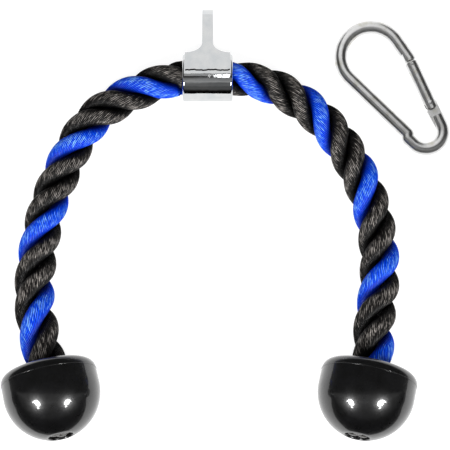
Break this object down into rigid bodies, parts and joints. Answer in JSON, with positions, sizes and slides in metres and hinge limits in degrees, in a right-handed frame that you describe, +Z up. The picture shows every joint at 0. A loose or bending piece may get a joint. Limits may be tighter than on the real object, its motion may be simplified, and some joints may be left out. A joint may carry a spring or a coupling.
{
  "type": "triceps rope attachment",
  "caption": "Curved twisted cable-machine rope with a moulded end stop on each arm, a steel collar with a welded eye lug, and a spring snap hook beside it.",
  "frame": {"origin": "on the floor, under the middle of the lying set's outline", "axes": "+Z up from the floor, +X along the rope in the collar towards the snap hook's side, +Y towards the lug"},
  "size_m": [0.3486, 0.342, 0.0755],
  "materials": {
    "chrome": "polished chrome plate on steel",
    "rope": "laid synthetic rope of two black strands and one blue strand",
    "end_stop": "glossy black moulded plastic",
    "plain_steel": "bright zinc-plated steel",
    "hook_steel": "satin zinc-plated steel"
  },
  "bodies": {
    "collar_and_hook": {"collar_sleeve": "chrome", "hanger_lug": "chrome", "rope_in_collar": "rope", "rope_left_bend": "rope", "rope_right_bend": "rope", "snap_hook_body": "hook_steel"},
    "left_arm": {"rope_left": "rope", "ball_left": "end_stop", "washer_left": "plain_steel", "ferrule_left": "plain_steel", "rope_tail_left": "rope"},
    "right_arm": {"rope_right": "rope", "ball_right": "end_stop", "washer_right": "plain_steel", "ferrule_right": "plain_steel", "rope_tail_right": "rope"},
    "gate": {"gate_shell": "hook_steel", "gate_rivet": "hook_steel", "latch_pin": "hook_steel"},
    "plunger": {"plunger": "plain_steel", "gate_spring": "plain_steel"}
  },
  "joints": [
    {"name": "left_arm_swing", "type": "hinge", "parent": "collar_and_hook", "child": "left_arm", "pos_m": [-0.06501, 0.10958, 0.01692], "axis": [0, 0, -1], "range_deg": [-18, 18], "stiffness_Nm_per_rad": 0.6, "deforming": ["rope_left_bend"]},
    {"name": "right_arm_swing", "type": "hinge", "parent": "collar_and_hook", "child": "right_arm", "pos_m": [0.03257, 0.11138, 0.0169], "axis": [0, 0, 1], "range_deg": [-18, 18], "stiffness_Nm_per_rad": 0.6, "deforming": ["rope_right_bend"]},
    {"name": "gate_swing", "type": "hinge", "parent": "collar_and_hook", "child": "gate", "pos_m": [0.15936, 0.09963, 0.005], "axis": [0, 0, 1], "range_deg": [0, 25], "stiffness_Nm_per_rad": 0.25, "springref_deg": -34.38},
    {"name": "plunger_slide", "type": "slide", "parent": "gate", "child": "plunger", "axis": [-0.4047, 0.9144, 0], "range_m": [0, 0.0009], "deforming": ["gate_spring"]}
  ],
  "couplings": [
    {"joint": "plunger_slide", "follows": "gate_swing", "m_per_rad": 0.0019}
  ]
}
